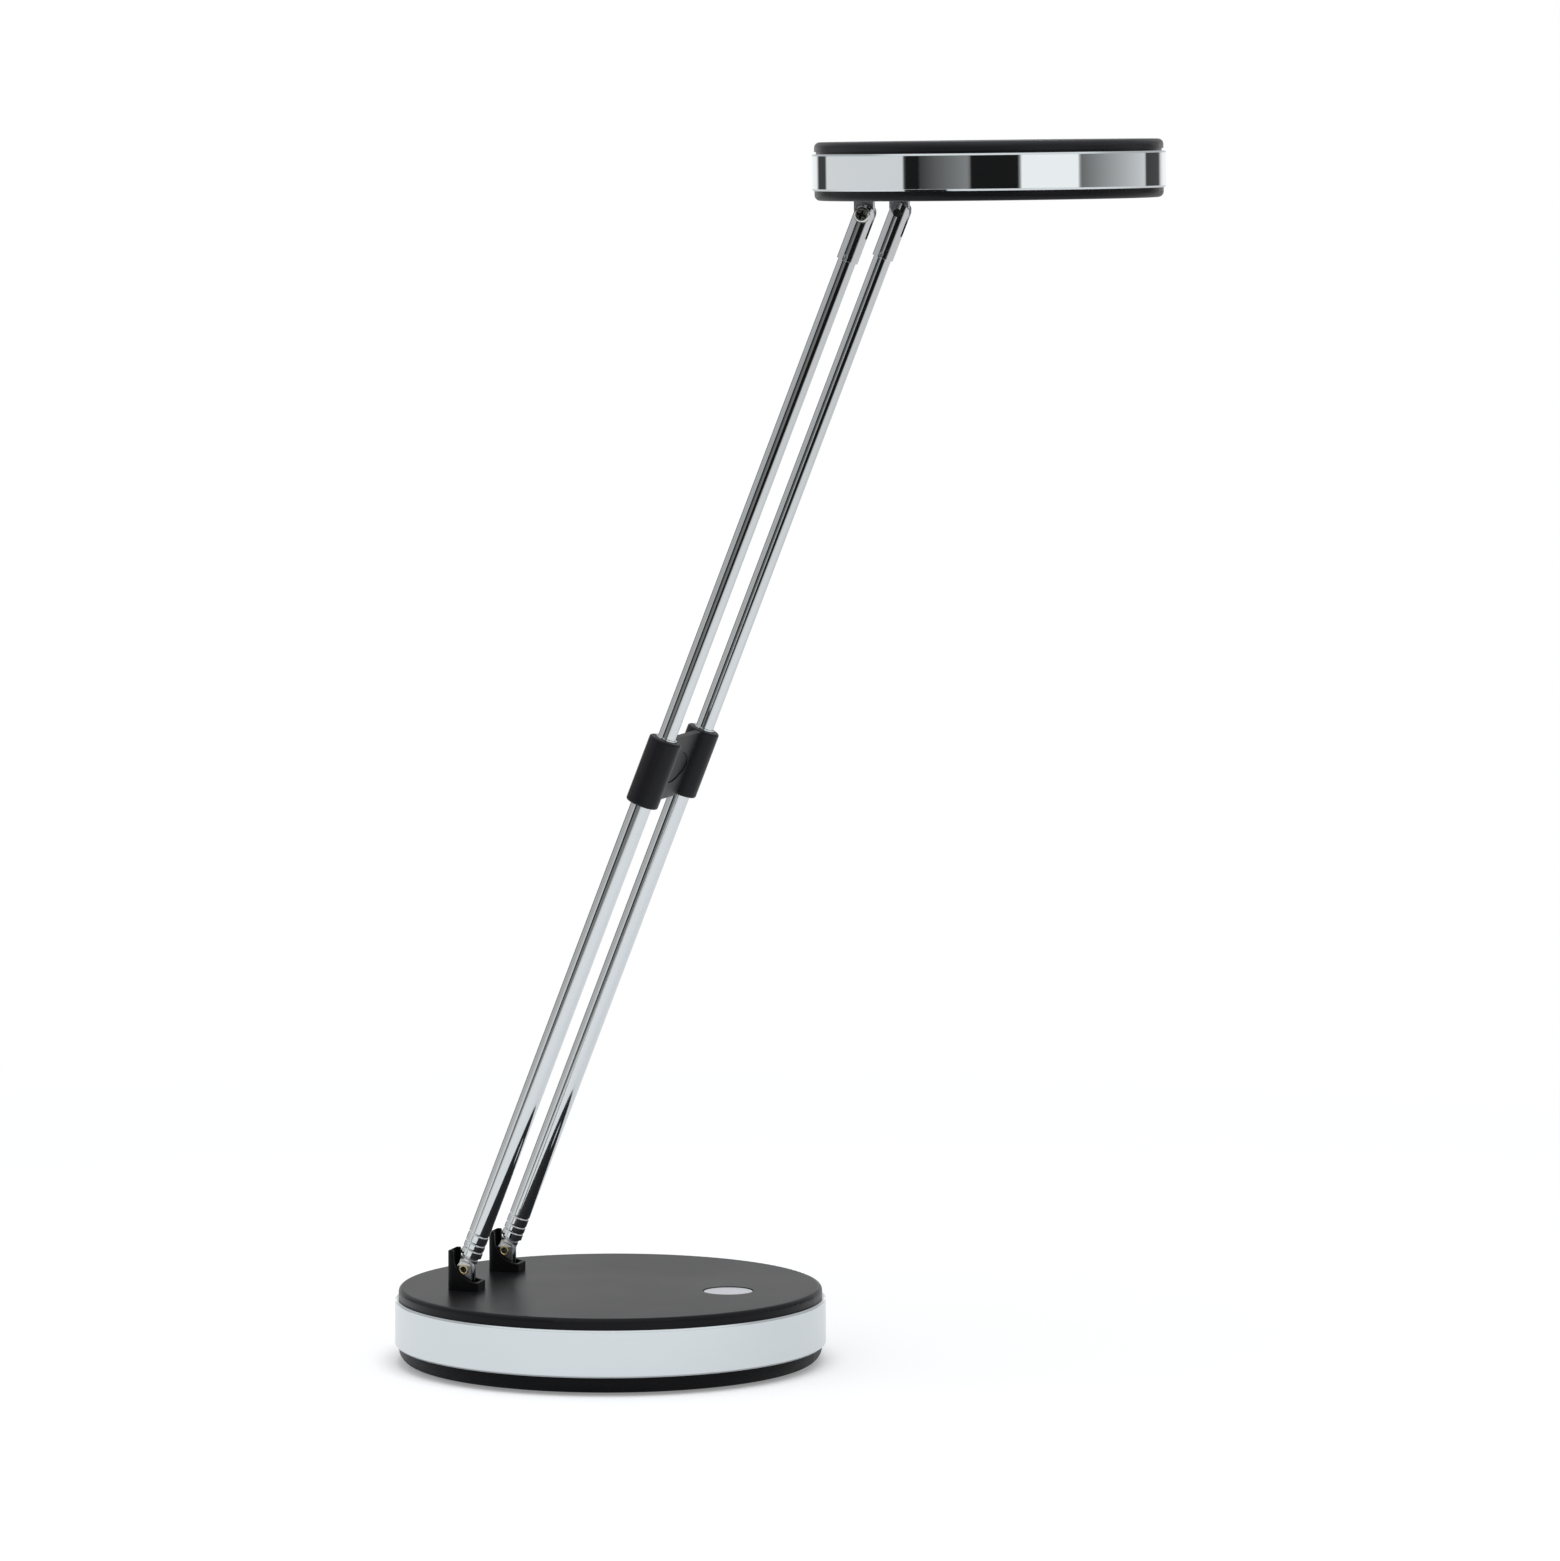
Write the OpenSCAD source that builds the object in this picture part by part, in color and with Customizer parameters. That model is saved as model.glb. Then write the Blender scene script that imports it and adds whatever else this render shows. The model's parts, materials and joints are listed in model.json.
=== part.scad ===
// Desk lamp with a round weighted base, a folding telescopic arm of two
// parallel rods joined by a clamp, and a round flat light head.
// Millimetres, +Z up. The origin is the middle of the foot pad, where it stands
// on the table. +X runs from the arm's pivots to the button. Left is -Y and
// right is +Y, as seen by someone who sits at +X and faces the lamp.

/* [Base] */
// Outer diameter of the chrome band round the base
base_d = 140; // [130:1:160]
// Height of the bottom cover below the band
base_bottom_h = 5.4; // [5:0.1:8]
// Height of the chrome band
base_ring_h = 15.2; // [14:0.1:20]
// Height of the top cover above the band
base_top_h = 3.6; // [3:0.1:5]
// Wall of the chrome band
base_ring_t = 2.2; // [1.8:0.1:3]
// Distance that the two covers stand back from the band's outer face
base_step = 1.2; // [0.8:0.1:1.4]
// Thickness of the top cover's plate and of the bottom cover's floor
base_plate_t = 2.4; // [2:0.1:2.8]
// Radius of the bottom cover's lower edge
base_foot_round = 4.4; // [2:0.1:4.8]
// Radius of the top cover's upper edge
base_rim_round = 1.5; // [0.5:0.1:2]

/* [Foot pad and ballast] */
// Distance of the anti-slip pad's edge inside the band's outer face
pad_in = 11; // [9:1:15]
// Thickness of the anti-slip pad
pad_t = 1.4; // [1.2:0.1:1.8]
// Height that the pad stands below the bottom cover
pad_proud = 0.6; // [0.5:0.1:1]
// Distance of the steel ballast plate's edge inside the band's outer face
ballast_in = 11; // [8:1:14]
// Thickness of the steel ballast plate
ballast_t = 8; // [6:0.5:9]
// Distance of the base's four screws inside the band's outer face
base_screw_in = 24; // [22:0.5:27]

/* [Button] */
// Distance of the button's middle from the front of the band
button_in = 30.1; // [26:0.1:34]
// Diameter of the button cap
button_d = 16; // [12:0.5:18]
// Depth of the cap's face below the top cover
button_sink = 0.2; // [0:0.05:0.4]
// Travel of the button
button_travel = 0.8; // [0.4:0.1:1]

/* [Arm] */
// Distance of the arm's pivots from the back of the band
pivot_in = 27.5; // [24:0.5:32]
// Height of the arm's pivots above the top cover
pivot_h = 6.7; // [6.2:0.1:8]
// Distance between the axes of the two rods
rod_gap = 42; // [36:1:50]
// Angle of the arm from the vertical, towards the button
arm_lean = 21.4; // [0:0.1:60]
// Outer diameter of the lower tubes
lower_tube_d = 7; // [6.8:0.1:7.4]
// Outer diameter of the upper tubes
upper_tube_d = 5.9; // [5:0.1:6]
// Wall of the lower and the upper tubes
tube_t = 0.4; // [0.3:0.05:0.5]
// Length of each lower tube
lower_tube_len = 182.2; // [150:1:220]
// Length of each upper tube
upper_tube_len = 192; // [160:1:230]
// Length of upper tube that stays in the lower tube at full reach
tube_overlap = 20; // [15:1:40]
// Distance that the upper tubes are pushed in from full reach
slide_in = 0; // [0:1:130]
// Distance from the base pivot to the end of the lower tube
tube_foot = 4.9; // [4.6:0.1:7]
// Distance from the end of the upper tube to the head pivot
tube_tip = 7.2; // [6:0.1:9]

/* [Pivots] */
// Diameter of the rivets and of the screws that the arm and the head turn on
pivot_pin_d = 2.5; // [2:0.1:2.6]
// Thickness of the tongue at each foot of the arm
tongue_t = 2.4; // [2:0.1:2.6]
// Thickness of each ear of the base lugs
ear_t = 1; // [0.8:0.1:1.1]
// Radius of the rounded ends of the ears
ear_r = 2.6; // [2.5:0.05:3]
// Diameter of the rivet heads
rivet_head_d = 3.2; // [3:0.1:4]
// Diameter of the heads of the head pivot screws
pivot_screw_head_d = 4.8; // [4:0.1:5]

/* [Brackets] */
// Length of each bracket along X
bracket_len = 10.6; // [9.8:0.1:11.5]
// Distance that a bracket reaches behind its pivot
bracket_back = 5.2; // [5.2:0.1:6]
// Width of each bracket along Y
bracket_w = 8.4; // [8.2:0.1:9.5]
// Height of a bracket's back wall
bracket_h = 13.2; // [11:0.1:14.5]
// Height of a bracket's low front rim
bracket_low_h = 2.7; // [2.4:0.1:3.2]
// Radius of the scoop that joins the back wall to the front rim
bracket_scoop_r = 8.3; // [7.6:0.1:8.5]
// Thickness of a bracket's side walls and floor
bracket_t = 1; // [0.8:0.05:1.1]

/* [Clamp] */
// Outer diameter of the clamp's two sleeves
clamp_d = 10.7; // [9.5:0.1:12]
// Length of the clamp along the rods
clamp_len = 22.5; // [16:0.5:30]
// Thickness of the web between the sleeves
clamp_web_t = 2; // [1.6:0.1:4]
// Distance from each rod's axis to the tip of the thumb recess
thumb_in = 8.3; // [7:0.1:11]
// Height of the thumb recess along the rods
thumb_h = 10.8; // [6:0.1:12]

/* [Head] */
// Outer diameter of the chrome band round the head
head_d = 112.8; // [108:0.2:130]
// Height of the bottom cover below the band
head_bottom_h = 3.1; // [2.8:0.1:4]
// Height of the chrome band
head_ring_h = 11.6; // [11:0.1:15]
// Height of the top cover's visible side
head_top_h = 3; // [2.6:0.1:4]
// Height of the shadow gap between the band and the top cover
head_shadow = 0.7; // [0.4:0.1:1]
// Wall of the chrome band
head_ring_t = 1.6; // [1.4:0.1:2]
// Distance that the two covers stand back from the band's outer face
head_step = 1.2; // [0.4:0.1:1.3]
// Thickness of the plates of the two covers
head_plate_t = 2; // [1.6:0.1:2.4]
// Radius of the outer edges of the two covers
head_round = 1.8; // [1:0.1:2]
// Distance of the head pivots from the back of the head's band
head_in = 21.3; // [18:0.1:23]
// Height of the head's underside above its pivots
head_drop = 4.4; // [4.2:0.1:6]
// Angle by which the head's far end is raised above level
head_raise = 0.7; // [0:0.1:20]
// Thickness of the head lugs
head_lug_t = 2.2; // [1.8:0.1:2.4]
// Width of the head lugs
head_lug_w = 6.3; // [5:0.1:6.6]
// Outer diameter of the sleeves that hold the head lugs
head_sleeve_d = 7; // [6.8:0.1:7.6]
// Distance from the head pivot to the sleeve's lower end
head_sleeve_len = 15.5; // [12:0.5:20]
// Distance of the head's four screws inside the band's outer face
head_screw_in = 8.5; // [8:0.5:10]

/* [Light] */
// Distance of the light opening's edge inside the band's outer face
light_in = 23; // [22.5:0.5:31]
// Thickness of the diffuser's flange
diffuser_t = 1.3; // [1:0.1:1.5]
// Height of the reflector between the diffuser and the LED board
reflector_h = 5; // [3.5:0.1:5.5]
// Thickness of the LED board
led_board_t = 1.6; // [1:0.1:1.8]
// Number of LEDs in the outer ring
led_count = 18; // [6:1:18]
// Distance of the heat spreader's edge inside the band's outer face
spreader_in = 14; // [13:0.5:20]
// Thickness of the heat spreader's plate
spreader_t = 1.5; // [1:0.1:1.8]

/* [Electrics in the base] */
// Length of the control board along X
board_len = 34; // [30:1:38]
// Width of the control board along Y
board_w = 30; // [26:1:34]
// Thickness of the control board
board_t = 1.6; // [1:0.1:1.8]
// Bore of the low-voltage inlet
jack_bore_d = 5.6; // [5:0.1:6]
// Diameter of the inlet's centre pin
jack_pin_d = 2; // [1.3:0.1:2.1]
// Depth of the inlet's bore
jack_depth = 9.5; // [8:0.1:10]

/* [Fits] */
// Radial clearance of a shaft that turns or slides in its bore
running = 0.05; // [0.02:0.01:0.08]
// Radial clearance round fixed screws, plugs and tubes
seat_gap = 0.04; // [0.02:0.01:0.08]
// Clearance beside parts that swing between two cheeks
side_play = 0.1; // [0.06:0.01:0.15]
// Clearance between the covers' spigots and the bands
spigot_gap = 0.15; // [0.1:0.05:0.25]
// Gap round the button cap
button_gap = 0.25; // [0.15:0.05:0.35]

/* [Hidden] */
$fn = 96;
eps = 0.01;
LEFT = -1;
RIGHT = 1;

// Levels of the base, from the table up.
base_floor_z = pad_proud;
base_ring_z = base_floor_z + base_bottom_h;
base_rim_z = base_ring_z + base_ring_h;
base_top_z = base_rim_z + base_top_h;
base_ceiling_z = base_top_z - base_plate_t;
ballast_z = base_floor_z + base_plate_t;
ballast_top_z = ballast_z + ballast_t;
base_cover_r = base_d / 2 - base_step;
pad_d = base_d - 2 * pad_in;
ballast_d = base_d - 2 * ballast_in;
button_x = base_d / 2 - button_in;
base_spigot_r = base_d / 2 - base_ring_t - spigot_gap;
base_spigot_t = 1.6;
base_spigot_h = 4;
band_chamfer = 0.6;

// Screws and bosses of the base.
base_screw_r = base_d / 2 - base_screw_in;
base_screw_d = 3;
base_screw_head_d = 5.6;
base_screw_head_h = 1.8;
base_screw_len = 12;
base_boss_d = base_screw_d + 6;
base_boss_h = 3;
base_boss_top_z = ballast_z + base_boss_h;
base_screw_seat_z = base_floor_z + 2.4;
ballast_hole_d = base_boss_d + 1.2;
base_shoulder_d = ballast_hole_d + 2.4;
base_screw_angles = [60, 120, 240, 300];

// Levels under the button, from the ceiling of the base down.
button_flange_t = 1;
button_flange_d = button_d + 2 * button_gap + 2;
plunger_d = 3.4;
plunger_bore = button_travel + 0.3;
switch_w = 6;
switch_h = 3.2;
button_stem_d = 5;
button_stem_h = 2.2;
plunger_h = 1.2;
stem_z = base_ceiling_z - button_flange_t - button_stem_h;
switch_top_z = stem_z - plunger_h;
board_top_z = switch_top_z - switch_h;
board_x = button_x;
board_post_d = 5;
board_screw_d = 2;
board_screw_head_d = 3.6;
board_screw_head_h = 1.2;
board_post_y = board_w / 2 - board_post_d / 2 - 0.5;
board_post_x = board_len / 2 - board_post_d / 2 - 0.5;

// Inlet at the back of the base.
jack_z = base_ring_z + base_ring_h / 2;
jack_w = 9;
jack_h = 10;
jack_nose_d = jack_bore_d + 2.2;
jack_face_x = -base_d / 2 + 0.3;
jack_body_x = -base_spigot_r + base_spigot_t + 0.4;
jack_len = 12;
jack_rest_len = 8;

// Frames of the arm. The rolled rim of each lower tube shows above the clamp.
tube_rim = 0.6;
pivot_x = pivot_in - base_d / 2;
pivot_z = base_top_z + pivot_h;
clamp_top = tube_foot + lower_tube_len - tube_rim;
clamp_low = clamp_top - clamp_len;
upper_start = tube_foot + lower_tube_len - tube_overlap - slide_in;
arm_len = upper_start + upper_tube_len + tube_tip;
head_x = pivot_x + arm_len * sin(arm_lean);
head_z = pivot_z + arm_len * cos(arm_lean);
lower_bore_d = lower_tube_d - 2 * tube_t;
upper_bore_d = upper_tube_d - 2 * tube_t;
slide_d = lower_bore_d - 2 * running;
rim_d = upper_tube_d + 2 * running;
thumb_w = rod_gap - 2 * thumb_in;
rim_len = 1.2;
crimp_places = [2.2, 4.5, 7.6];
bead_len = 3;
bead_low = tube_overlap - rim_len - bead_len - 0.3;

// Base pivots: a tongue on the arm turns between two ears of a lug.
ear_in = tongue_t / 2 + side_play;
ear_out = ear_in + ear_t;
tongue_r = ear_r - 0.1;
collar_d = 5.6;
collar_low = ear_r + 0.3;
rivet_head_t = 0.4;
rivet_hole_d = pivot_pin_d - 0.8;
rivet_flare = 0.3;
lug_foot_len = 9;
lug_foot_w = 17;
lug_foot_t = 1.5;
lug_web_h = 2.2;
lug_screw_d = 2;
lug_screw_head_d = 3.8;
lug_screw_head_h = 1.2;
lug_screw_y = 6;

// Back wall of the brackets, and the pegs under their back corners.
bracket_back_t = 1.05;
peg_d = 1.6;
peg_h = 1.4;
peg_x = bracket_back_t - 0.05 - bracket_back;
peg_in = 2.2;

// Head pivots: a lug under the head turns in the slot of a sleeve.
head_cheek = head_lug_t / 2 + side_play;
pivot_face = 2.6;
pivot_screw_head_h = 1.2;
sleeve_slot = tube_tip - 0.2;
stake_d = 1.4;

// Levels of the head, above its pivots.
head_ring_z = head_drop + head_bottom_h;
head_rim_z = head_ring_z + head_ring_h;
head_cap_z = head_rim_z + head_shadow;
head_top_z = head_cap_z + head_top_h;
head_floor_z = head_drop + head_plate_t;
head_ceiling_z = head_top_z - head_plate_t;
head_reach = head_d / 2 - head_in;
head_cover_r = head_d / 2 - head_step;
head_spigot_r = head_d / 2 - head_ring_t - spigot_gap;
head_spigot_t = 1.4;
head_spigot_h = 3;
head_boss_d = 7;
head_screw_r = head_d / 2 - head_screw_in;
head_screw_d = 2.2;
head_screw_head_d = 4;
head_screw_head_h = 1.1;
head_screw_len = 9;
head_screw_seat_z = head_drop + head_screw_head_h + 0.1;
head_boss_top_z = head_floor_z + 2;
head_screw_angles = [45, 135, 225, 315];

// The light's parts, from the underside up.
light_d = head_d - 2 * light_in;
spreader_d = head_d - 2 * spreader_in;
diffuser_flange_d = light_d + 3.4;
diffuser_face_z = head_drop + 0.3;
reflector_z = head_floor_z + diffuser_t;
led_board_z = reflector_z + reflector_h;
spreader_z = led_board_z + led_board_t;
spreader_top_z = spreader_z + spreader_t;
led_board_d = diffuser_flange_d + 2;
led_l = 3.5;
led_w = 2.8;
led_h = 0.7;
led_ring_r = light_d / 2 - 8;
led_inner_r = led_ring_r / 2;
led_inner_count = 8;
fin_t = 1.2;
fin_h = 1.8;
fin_pitch = 8;

// Feet of the head lugs, inside the head.
head_foot_len = 10.5;
head_foot_w = 12;
head_foot_t = 1.5;
head_foot_back = 9.3;
head_lug_screw_y = 3.9;
head_lug_screw_x = -6.2;

// ---- Frames ----

// The base pivot of one rod, with Z along the rod.
module along_rod(side) {
    translate([pivot_x, side * rod_gap / 2, pivot_z]) rotate([0, arm_lean, 0]) children();
}

// The base pivot of one rod, upright.
module at_base_pivot(side) {
    translate([pivot_x, side * rod_gap / 2, pivot_z]) children();
}

// The head's frame: its origin is midway between the head pivots.
module at_head() {
    translate([head_x, 0, head_z]) rotate([0, -head_raise, 0]) children();
}

// The same frame, moved to the middle of the head.
module at_head_middle() {
    at_head() translate([head_reach, 0, 0]) children();
}

// ---- Shared shapes ----

// A tube or ring that stands on Z = 0.
module pipe(outer_r, inner_r, h) {
    difference() {
        cylinder(r = outer_r, h = h);
        translate([0, 0, -eps]) cylinder(r = inner_r, h = h + 2 * eps);
    }
}

// A disc with a rounded upper edge.
module rounded_disc(r, h, round_r) {
    rotate_extrude() {
        square([r - round_r, h]);
        square([r, h - round_r]);
        translate([r - round_r, h - round_r]) intersection() {
            circle(r = round_r);
            square(round_r + 1);
        }
    }
}

// A chrome band with small chamfers on its outer edges.
module band(r, t, h, chamfer) {
    rotate_extrude() polygon([
        [r - t, 0], [r - chamfer, 0], [r, chamfer],
        [r, h - chamfer], [r - chamfer, h], [r - t, h]
    ]);
}

// A screw along Z: the head's seat is at Z = 0 and the shank points down.
module screw(head_d, head_h, shank_d, length) {
    slot_w = head_d * 0.16;
    slot_l = head_d * 0.62;
    difference() {
        union() {
            rounded_disc(head_d / 2, head_h, head_h * 0.45);
            translate([0, 0, -length]) cylinder(d = shank_d, h = length + eps);
        }
        for (turn = [0, 90]) {
            rotate([0, 0, turn]) translate([-slot_l / 2, -slot_w / 2, head_h * 0.4])
                cube([slot_l, slot_w, head_h]);
        }
    }
}

// A drilled hole along Z, cut a little past both faces.
module drill(d, low, high) {
    translate([0, 0, low - eps]) cylinder(d = d, h = high - low + 2 * eps);
}

// ---- Base ----

module at_base_screws() {
    for (a = base_screw_angles) rotate([0, 0, a]) translate([base_screw_r, 0, 0]) children();
}

module at_board_posts() {
    for (x = [-board_post_x, board_post_x], y = [-board_post_y, board_post_y]) {
        if (x * y > 0) translate([board_x + x, y, 0]) children();
    }
}

module at_lug_screws(side) {
    for (dy = [-lug_screw_y, lug_screw_y]) {
        translate([pivot_x, side * rod_gap / 2 + dy, 0]) children();
    }
}

module base_cover_top() {
    color("#2c2c2f") difference() {
        union() {
            difference() {
                translate([0, 0, base_rim_z]) rounded_disc(base_cover_r, base_top_h, base_rim_round);
                drill(2 * (base_spigot_r - base_spigot_t), base_rim_z, base_ceiling_z - eps);
            }
            translate([0, 0, base_rim_z - base_spigot_h])
                pipe(base_spigot_r, base_spigot_r - base_spigot_t, base_spigot_h + eps);
            at_base_screws() {
                translate([0, 0, ballast_top_z])
                    cylinder(d = base_shoulder_d, h = base_ceiling_z - ballast_top_z + eps);
                translate([0, 0, base_boss_top_z])
                    cylinder(d = base_boss_d, h = ballast_top_z - base_boss_top_z + eps);
            }
            at_board_posts() translate([0, 0, board_top_z])
                cylinder(d = board_post_d, h = base_ceiling_z - board_top_z + eps);
        }
        at_base_screws()
            drill(base_screw_d + 2 * seat_gap, base_boss_top_z, base_boss_top_z + base_screw_len);
        at_board_posts() drill(board_screw_d + 2 * seat_gap, board_top_z, board_top_z + 4);
        translate([button_x, 0, 0]) drill(button_d + 2 * button_gap, base_ceiling_z, base_top_z);
        jack_opening();
        for (side = [LEFT, RIGHT]) {
            at_base_pivot(side) lug_way(-pivot_h - base_plate_t, base_plate_t);
            at_lug_screws(side) drill(lug_screw_d + 2 * seat_gap, base_ceiling_z, base_ceiling_z + 1.6);
            at_bracket_pegs(side) drill(peg_d + 2 * seat_gap, base_top_z - peg_h - 0.1, base_top_z);
        }
    }
}

module base_ring() {
    color("#d5dade") difference() {
        translate([0, 0, base_ring_z]) band(base_d / 2, base_ring_t, base_ring_h, band_chamfer);
        translate([-base_d / 2, 0, jack_z]) rotate([0, 90, 0])
            cylinder(d = jack_nose_d + 0.4, h = base_d / 4);
    }
}

module base_cover_bottom() {
    color("#242427") difference() {
        union() {
            difference() {
                translate([0, 0, base_ring_z]) mirror([0, 0, 1])
                    rounded_disc(base_cover_r, base_bottom_h, base_foot_round);
                translate([0, 0, ballast_z])
                    cylinder(r = base_spigot_r - base_spigot_t, h = base_bottom_h);
            }
            translate([0, 0, base_ring_z - eps])
                pipe(base_spigot_r, base_spigot_r - base_spigot_t, base_spigot_h + eps);
            at_base_screws() translate([0, 0, ballast_z - eps])
                cylinder(d = base_boss_d, h = base_boss_h + eps);
            jack_cradle();
        }
        translate([0, 0, base_floor_z - eps])
            cylinder(d = pad_d + 0.4, h = pad_t - pad_proud + eps);
        at_base_screws() {
            drill(base_screw_d + 2 * seat_gap, base_floor_z, base_boss_top_z);
            drill(base_screw_head_d + 0.6, base_floor_z, base_screw_seat_z);
        }
        jack_opening();
    }
}

// A post and two cheeks that hold the inlet from below and from both sides.
module jack_cradle() {
    x0 = jack_body_x + 1;
    cheek_t = 1.2;
    translate([x0, -jack_w / 2 - cheek_t, ballast_z - eps])
        cube([jack_rest_len, jack_w + 2 * cheek_t, jack_z - jack_h / 2 - ballast_z + eps]);
    for (side = [LEFT, RIGHT]) {
        translate([x0, side * (jack_w / 2 + cheek_t / 2 + seat_gap) - cheek_t / 2, ballast_z - eps])
            cube([jack_rest_len, cheek_t, jack_z + 2 - ballast_z]);
    }
}

// The way for the inlet's nose through the spigots of the two covers.
module jack_opening() {
    translate([-base_d / 2, -jack_w / 2 - 0.2, jack_z - jack_h / 2])
        cube([base_d / 2 + jack_body_x, jack_w + 0.4, jack_h]);
}

module ballast_plate() {
    notch_x = jack_body_x + jack_len + 1;
    color("#8b8d90") difference() {
        translate([0, 0, ballast_z]) cylinder(d = ballast_d, h = ballast_t);
        at_base_screws() drill(ballast_hole_d, ballast_z, ballast_top_z);
        translate([-base_d / 2, -jack_w / 2 - 2, ballast_z - eps])
            cube([base_d / 2 + notch_x, jack_w + 4, ballast_t + 2 * eps]);
    }
}

module anti_slip_pad() {
    color("#1c1c1d") difference() {
        cylinder(d = pad_d, h = pad_t);
        at_base_screws() drill(base_screw_head_d + 1.4, 0, pad_t);
    }
}

module base_screws() {
    color("#b9bcc0") at_base_screws() translate([0, 0, base_screw_seat_z]) mirror([0, 0, 1])
        screw(base_screw_head_d, base_screw_head_h, base_screw_d, base_screw_len);
}

module control_board() {
    color("#1f6b3a") difference() {
        translate([board_x - board_len / 2, -board_w / 2, board_top_z - board_t])
            cube([board_len, board_w, board_t]);
        at_board_posts() drill(board_screw_d + 2 * seat_gap, board_top_z - board_t, board_top_z);
    }
}

module board_screws() {
    color("#b9bcc0") at_board_posts() translate([0, 0, board_top_z - board_t]) mirror([0, 0, 1])
        screw(board_screw_head_d, board_screw_head_h, board_screw_d, board_t + 3.6);
}

module tact_switch() {
    color("#3a3a3c") difference() {
        translate([button_x - switch_w / 2, -switch_w / 2, board_top_z])
            cube([switch_w, switch_w, switch_h]);
        translate([button_x, 0, 0]) drill(plunger_d + 0.3, switch_top_z - plunger_bore, switch_top_z);
    }
}

module dc_jack() {
    color("#19191a") difference() {
        union() {
            translate([jack_body_x, -jack_w / 2, jack_z - jack_h / 2])
                cube([jack_len, jack_w, jack_h]);
            translate([jack_face_x, 0, jack_z]) rotate([0, 90, 0])
                cylinder(d = jack_nose_d, h = jack_body_x - jack_face_x + eps);
        }
        translate([jack_face_x, 0, jack_z]) rotate([0, 90, 0]) drill(jack_bore_d, 0, jack_depth);
    }
}

module jack_pin() {
    color("#d9c27a") translate([jack_face_x + 1.2, 0, jack_z]) rotate([0, 90, 0])
        cylinder(d = jack_pin_d, h = jack_depth - 1.2);
}

// ---- Brackets and lugs on the base ----

// Two pegs under each bracket, at its back corners.
module at_bracket_pegs(side) {
    for (dy = [-1, 1]) {
        translate([pivot_x + peg_x, side * rod_gap / 2 + dy * (bracket_w / 2 - peg_in), 0]) children();
    }
}

// The way for a lug's neck through a plate. Its middle is on the pivot axis.
module lug_way(low, plate_t) {
    reach = ear_r + side_play;
    half_w = ear_out + side_play;
    translate([-reach, -half_w, low - eps]) cube([2 * reach, 2 * half_w, plate_t + 2 * eps]);
}

// What an edge along Y loses when it is rounded. The edge runs from the origin
// towards -Y, and the solid lies at +X and -Z of it.
module edge_round(r, length) {
    rotate([90, 0, 0]) difference() {
        translate([-1, -r, 0]) cube([r + 1, r + 1, length]);
        translate([r, -r, -1]) cylinder(r = r, h = length + 2);
    }
}

// The bracket's plan: generous corners at the back and small ones at the front.
module bracket_plan() {
    corner_r = 2.2;
    front_r = 0.8;
    front_x = bracket_len - bracket_back;
    half_w = bracket_w / 2;
    back_y = half_w - corner_r;
    front_y = half_w - front_r;
    translate([corner_r - bracket_back, -half_w])
        square([bracket_len - corner_r - front_r, bracket_w]);
    translate([-bracket_back, -back_y]) square([corner_r + 1, 2 * back_y]);
    translate([front_x - front_r - 1, -front_y]) square([front_r + 1, 2 * front_y]);
    for (s = [-1, 1]) {
        translate([corner_r - bracket_back, s * back_y]) circle(r = corner_r);
        translate([front_x - front_r, s * front_y]) circle(r = front_r);
    }
}

// A bracket: a tub round the lug, with a tall back wall that falls in a scoop
// to a low rim at the front. Its origin is on the pivot axis.
module bracket_shape() {
    floor_z = -pivot_h;
    crest_z = floor_z + bracket_h;
    half_w = bracket_w / 2;
    scoop_x = bracket_len - bracket_back;
    scoop_z = floor_z + bracket_low_h + bracket_scoop_r;
    cut_y = half_w + 1;
    cut_w = 2 * cut_y;
    difference() {
        translate([0, 0, floor_z]) linear_extrude(bracket_h) bracket_plan();
        // Trough for the lug and the arm's foot.
        translate([bracket_back_t - bracket_back, bracket_t - half_w, floor_z + bracket_t])
            cube([bracket_len - bracket_back_t - bracket_t, bracket_w - 2 * bracket_t, bracket_h]);
        // Scoop: a quarter round, and straight up from its end.
        translate([scoop_x, cut_y, scoop_z]) rotate([90, 0, 0]) {
            cylinder(r = bracket_scoop_r, h = cut_w);
            translate([-bracket_scoop_r, 0, 0])
                cube([bracket_scoop_r + bracket_len, bracket_h, cut_w]);
        }
        // Rounded crest, and the smaller rounds at the inner ends of the side walls.
        translate([-bracket_back, cut_y, crest_z]) edge_round(1.1, cut_w);
        translate([scoop_x - bracket_scoop_r, cut_y, crest_z]) mirror([1, 0, 0])
            edge_round(0.6, cut_w);
        lug_way(floor_z, bracket_t);
    }
}

module bracket(side) {
    color("#101011") {
        at_base_pivot(side) bracket_shape();
        at_bracket_pegs(side) translate([0, 0, base_top_z - peg_h])
            cylinder(d = peg_d, h = peg_h + bracket_t / 2);
    }
}

module bracket_left() { bracket(LEFT); }
module bracket_right() { bracket(RIGHT); }

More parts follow.
